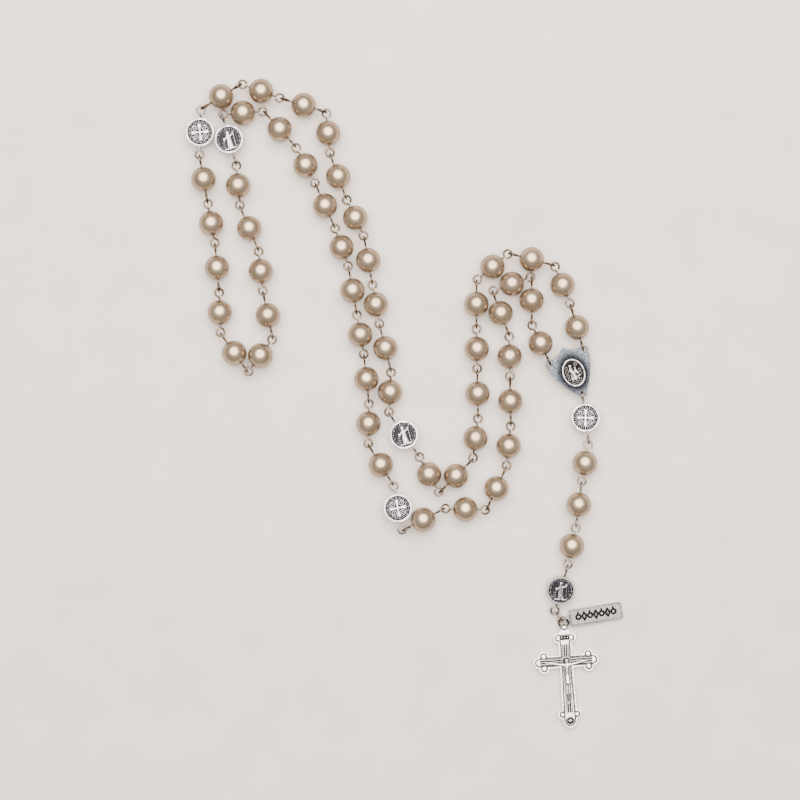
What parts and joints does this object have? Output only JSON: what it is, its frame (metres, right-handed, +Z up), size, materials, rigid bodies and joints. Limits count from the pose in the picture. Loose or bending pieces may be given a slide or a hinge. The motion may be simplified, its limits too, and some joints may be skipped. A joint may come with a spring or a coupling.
{
  "type": "rosary",
  "caption": "Folded loop of round pearl beads and medal beads on eye pins, joined by a shield centrepiece to a short pendant with a crucifix and a small tag.",
  "frame": {"origin": "Under the middle of the laid-out rosary, on the surface it lies on", "axes": "+Z up; +Y away from the crucifix, along the length of the layout; +X to the right"},
  "size_m": [0.1413, 0.2096, 0.008],
  "materials": {
    "pearl": "pearlescent champagne, glossy",
    "dark_wire": "antiqued bronze wire",
    "bright_wire": "antiqued silver wire",
    "antique_silver": "cast, antiqued silver with dark recesses",
    "dark_steel": "cast, blue-grey with bright worn edges",
    "medallion": "cast relief, antiqued"
  },
  "bodies": {
    "lower_run": {"lower_run_pearls": "pearl", "lower_run_pins": "dark_wire", "lower_medal_pins": "bright_wire"},
    "lower_right_medal": {"lower_right_medal": "antique_silver"},
    "lower_left_medal": {"lower_left_medal": "antique_silver"},
    "upper_right_medal": {"upper_right_medal": "antique_silver"},
    "upper_left_medal": {"upper_left_medal": "antique_silver"},
    "near_base": {"near_base_pearls": "pearl", "near_base_pins": "dark_wire"},
    "near_right_arch": {"near_right_arch_pearls": "pearl", "near_right_arch_pins": "dark_wire"},
    "near_left_arch": {"near_left_arch_pearls": "pearl", "near_left_arch_pins": "dark_wire"},
    "run_link_1": {"run_link_1_pearls": "pearl", "run_link_1_pins": "dark_wire"},
    "run_link_2": {"run_link_2_pearls": "pearl", "run_link_2_pins": "dark_wire"},
    "bottom_right_arch": {"bottom_right_arch_pearls": "pearl", "bottom_right_arch_pins": "dark_wire"},
    "bottom_left_arch": {"bottom_left_arch_pearls": "pearl", "bottom_left_arch_pins": "dark_wire"},
    "slope_link_1": {"slope_link_1_pearls": "pearl", "slope_link_1_pins": "dark_wire"},
    "slope_link_2": {"slope_link_2_pearls": "pearl", "slope_link_2_pins": "dark_wire"},
    "top_right_arch": {"top_right_arch_pearls": "pearl", "top_right_arch_pins": "dark_wire"},
    "top_left_arch": {"top_left_arch_pearls": "pearl", "top_left_arch_pins": "dark_wire"},
    "end_link_1": {"end_link_1_pearls": "pearl", "end_link_1_pins": "dark_wire"},
    "end_link_2": {"end_link_2_pearls": "pearl", "end_link_2_pins": "dark_wire"},
    "end_link_3": {"end_link_3_pearls": "pearl", "end_link_3_pins": "dark_wire"},
    "end_link_4": {"end_link_4_pearls": "pearl", "end_link_4_pins": "dark_wire"},
    "end_loop": {"end_loop_pearls": "pearl", "end_loop_pins": "dark_wire"},
    "upper_run": {"upper_run_pearls": "pearl", "upper_run_pins": "dark_wire", "upper_medal_pins": "bright_wire"},
    "centerpiece": {"centerpiece_shield": "dark_steel", "centerpiece_medallion": "medallion"},
    "pendant_upper_medal_link": {"pendant_upper_medal_pin": "bright_wire"},
    "pendant_upper_medal": {"pendant_upper_medal": "antique_silver"},
    "pendant_pearl_1_link": {"pendant_pearl_1_pin": "bright_wire"},
    "pendant_pearl_1": {"pendant_pearl_1": "pearl"},
    "pendant_pearl_2_link": {"pendant_pearl_2_pin": "bright_wire"},
    "pendant_pearl_2": {"pendant_pearl_2": "pearl"},
    "pendant_pearl_3_link": {"pendant_pearl_3_pin": "bright_wire"},
    "pendant_pearl_3": {"pendant_pearl_3": "pearl"},
    "pendant_lower_medal_link": {"pendant_lower_medal_pin": "bright_wire"},
    "pendant_lower_medal": {"pendant_lower_medal": "antique_silver"},
    "connector_ring": {"connector_ring": "bright_wire"},
    "crucifix_ring": {"crucifix_ring": "bright_wire"},
    "tag": {"tag": "dark_steel"},
    "crucifix": {"crucifix": "antique_silver", "corpus": "antique_silver"}
  },
  "joints": [
    {"name": "run_fold_1", "type": "hinge", "parent": "lower_run", "child": "run_link_1", "pos_m": [0.02889, -0.00476, 0.004], "axis": [0.9738, -0.2273, 0], "range_deg": [0, 20]},
    {"name": "run_fold_2", "type": "hinge", "parent": "run_link_1", "child": "run_link_2", "pos_m": [0.02854, 0.0088, 0.004], "axis": [0.9738, -0.2273, 0], "range_deg": [0, 20]},
    {"name": "run_fold_3", "type": "hinge", "parent": "run_link_2", "child": "near_base", "pos_m": [0.02827, 0.02414, 0.004], "axis": [0.9738, -0.2273, 0], "range_deg": [0, 20]},
    {"name": "slope_fold_1", "type": "hinge", "parent": "lower_run", "child": "slope_link_1", "pos_m": [-0.01061, 0.01959, 0.004], "axis": [0.4596, 0.8881, 0], "range_deg": [0, 21]},
    {"name": "slope_fold_2", "type": "hinge", "parent": "slope_link_1", "child": "slope_link_2", "pos_m": [-0.01328, 0.03471, 0.004], "axis": [0.4596, 0.8881, 0], "range_deg": [-43, 0]},
    {"name": "slope_fold_3", "type": "hinge", "parent": "slope_link_2", "child": "upper_run", "pos_m": [-0.01545, 0.04811, 0.004], "axis": [0.4596, 0.8881, 0], "range_deg": [0, 23]},
    {"name": "near_right_arch_lift", "type": "hinge", "parent": "near_base", "child": "near_right_arch", "pos_m": [0.03802, 0.03555, 0.004], "axis": [0.968, -0.2509, 0], "range_deg": [0, 40]},
    {"name": "near_left_arch_lift", "type": "hinge", "parent": "near_base", "child": "near_left_arch", "pos_m": [0.03413, 0.03111, 0.004], "axis": [-0.7873, 0.6166, 0], "range_deg": [-40, 0]},
    {"name": "bottom_right_arch_lift", "type": "hinge", "parent": "lower_run", "child": "bottom_right_arch", "pos_m": [0.013, -0.01739, 0.004], "axis": [0.9946, -0.1039, 0], "range_deg": [-40, 0]},
    {"name": "bottom_left_arch_lift", "type": "hinge", "parent": "lower_run", "child": "bottom_left_arch", "pos_m": [0.01604, -0.0308, 0.004], "axis": [-0.8563, -0.5165, 0], "range_deg": [0, 40]},
    {"name": "top_right_arch_lift", "type": "hinge", "parent": "upper_run", "child": "top_right_arch", "pos_m": [-0.04546, 0.09486, 0.004], "axis": [0.9998, -0.0194, 0], "range_deg": [0, 40]},
    {"name": "top_left_arch_lift", "type": "hinge", "parent": "upper_run", "child": "top_left_arch", "pos_m": [-0.04756, 0.08827, 0.004], "axis": [-0.9228, 0.3854, 0], "range_deg": [-40, 0]},
    {"name": "end_fold_1", "type": "hinge", "parent": "upper_run", "child": "end_link_1", "pos_m": [-0.06048, 0.07854, 0.004], "axis": [-0.9961, 0.0884, 0], "range_deg": [0, 30]},
    {"name": "end_fold_2", "type": "hinge", "parent": "end_link_1", "child": "end_link_2", "pos_m": [-0.05854, 0.06423, 0.004], "axis": [-0.9623, 0.2721, 0], "range_deg": [0, 30]},
    {"name": "end_fold_3", "type": "hinge", "parent": "end_link_2", "child": "end_link_3", "pos_m": [-0.0543, 0.05051, 0.004], "axis": [-0.9999, 0.0169, 0], "range_deg": [0, 30]},
    {"name": "end_fold_4", "type": "hinge", "parent": "end_link_3", "child": "end_link_4", "pos_m": [-0.05292, 0.03612, 0.004], "axis": [-0.9904, 0.1384, 0], "range_deg": [0, 30]},
    {"name": "end_fold_5", "type": "hinge", "parent": "end_link_4", "child": "end_loop", "pos_m": [-0.05083, 0.02175, 0.004], "axis": [-1, 0.0028, 0], "range_deg": [0, 30]},
    {"name": "lower_right_medal_spin", "type": "hinge", "parent": "lower_run", "child": "lower_right_medal", "pos_m": [-0.00041, -0.00997, 0.004], "axis": [-0.5736, 0.8192, 0], "continuous": true},
    {"name": "lower_left_medal_spin", "type": "hinge", "parent": "lower_run", "child": "lower_left_medal", "pos_m": [-0.00236, -0.03362, 0.004], "axis": [-0.1908, 0.9816, 0], "continuous": true},
    {"name": "upper_right_medal_spin", "type": "hinge", "parent": "upper_run", "child": "upper_right_medal", "pos_m": [-0.06611, 0.08749, 0.004], "axis": [-0.0349, -0.9994, 0], "continuous": true},
    {"name": "upper_left_medal_spin", "type": "hinge", "parent": "upper_run", "child": "upper_left_medal", "pos_m": [-0.0568, 0.08522, 0.004], "axis": [0.2756, -0.9613, 0], "continuous": true},
    {"name": "centerpiece_fold", "type": "hinge", "parent": "near_base", "child": "centerpiece", "pos_m": [0.05176, 0.0161, 0.004], "axis": [-0.914, -0.4058, 0], "range_deg": [0, 25]},
    {"name": "pendant_swing_1", "type": "hinge", "parent": "centerpiece", "child": "pendant_upper_medal_link", "pos_m": [0.05718, 0.00372, 0.00235], "axis": [0, 0, 1], "range_deg": [-25, 60]},
    {"name": "pendant_swing_2", "type": "hinge", "parent": "pendant_upper_medal_link", "child": "pendant_pearl_1_link", "pos_m": [0.05922, -0.01292, 0.00405], "axis": [0, 0, -1], "range_deg": [-40, 30]},
    {"name": "pendant_swing_3", "type": "hinge", "parent": "pendant_pearl_1_link", "child": "pendant_pearl_2_link", "pos_m": [0.05687, -0.02538, 0.004], "axis": [0, 0, 1], "range_deg": [-40, 40]},
    {"name": "pendant_swing_4", "type": "hinge", "parent": "pendant_pearl_2_link", "child": "pendant_pearl_3_link", "pos_m": [0.05511, -0.03972, 0.004], "axis": [0, 0, -1], "range_deg": [-40, 40]},
    {"name": "pendant_swing_5", "type": "hinge", "parent": "pendant_pearl_3_link", "child": "pendant_lower_medal_link", "pos_m": [0.05246, -0.0521, 0.00406], "axis": [0, 0, 1], "range_deg": [-40, 40]},
    {"name": "pendant_upper_medal_spin", "type": "hinge", "parent": "pendant_upper_medal_link", "child": "pendant_upper_medal", "pos_m": [0.0582, -0.00461, 0.00318], "axis": [0.1212, -0.9873, 0.1031], "continuous": true},
    {"name": "pendant_lower_medal_spin", "type": "hinge", "parent": "pendant_lower_medal_link", "child": "pendant_lower_medal", "pos_m": [0.05031, -0.06015, 0.00289], "axis": [-0.2563, -0.9565, -0.1392], "continuous": true},
    {"name": "pendant_pearl_1_spin", "type": "hinge", "parent": "pendant_pearl_1_link", "child": "pendant_pearl_1", "pos_m": [0.05799, -0.01915, 0.004], "axis": [-0.1736, -0.9848, 0], "continuous": true},
    {"name": "pendant_pearl_2_spin", "type": "hinge", "parent": "pendant_pearl_2_link", "child": "pendant_pearl_2", "pos_m": [0.05599, -0.03255, 0.004], "axis": [-0.1219, -0.9925, 0], "continuous": true},
    {"name": "pendant_pearl_3_spin", "type": "hinge", "parent": "pendant_pearl_3_link", "child": "pendant_pearl_3", "pos_m": [0.05376, -0.0459, 0.004], "axis": [-0.2079, -0.9781, 0], "continuous": true},
    {"name": "connector_ring_swing", "type": "hinge", "parent": "pendant_lower_medal_link", "child": "connector_ring", "pos_m": [0.04879, -0.06742, 0.00215], "axis": [0, 0, 1], "range_deg": [-50, 20]},
    {"name": "crucifix_ring_swing", "type": "hinge", "parent": "connector_ring", "child": "crucifix_ring", "pos_m": [0.05083, -0.07033, 0.00215], "axis": [0, 0, -1], "range_deg": [-15, 20]},
    {"name": "tag_swing", "type": "hinge", "parent": "connector_ring", "child": "tag", "pos_m": [0.05083, -0.07033, 0.00215], "axis": [0, 0, -1], "range_deg": [-20, 8]},
    {"name": "crucifix_lift", "type": "hinge", "parent": "crucifix_ring", "child": "crucifix", "pos_m": [0.0514, -0.0725, 0.0018], "axis": [-0.9976, -0.0698, 0], "range_deg": [0, 70]}
  ],
  "couplings": [
    {"joint": "slope_fold_1", "follows": "slope_fold_2", "ratio": -0.4695},
    {"joint": "slope_fold_3", "follows": "slope_fold_2", "ratio": -0.5305}
  ]
}
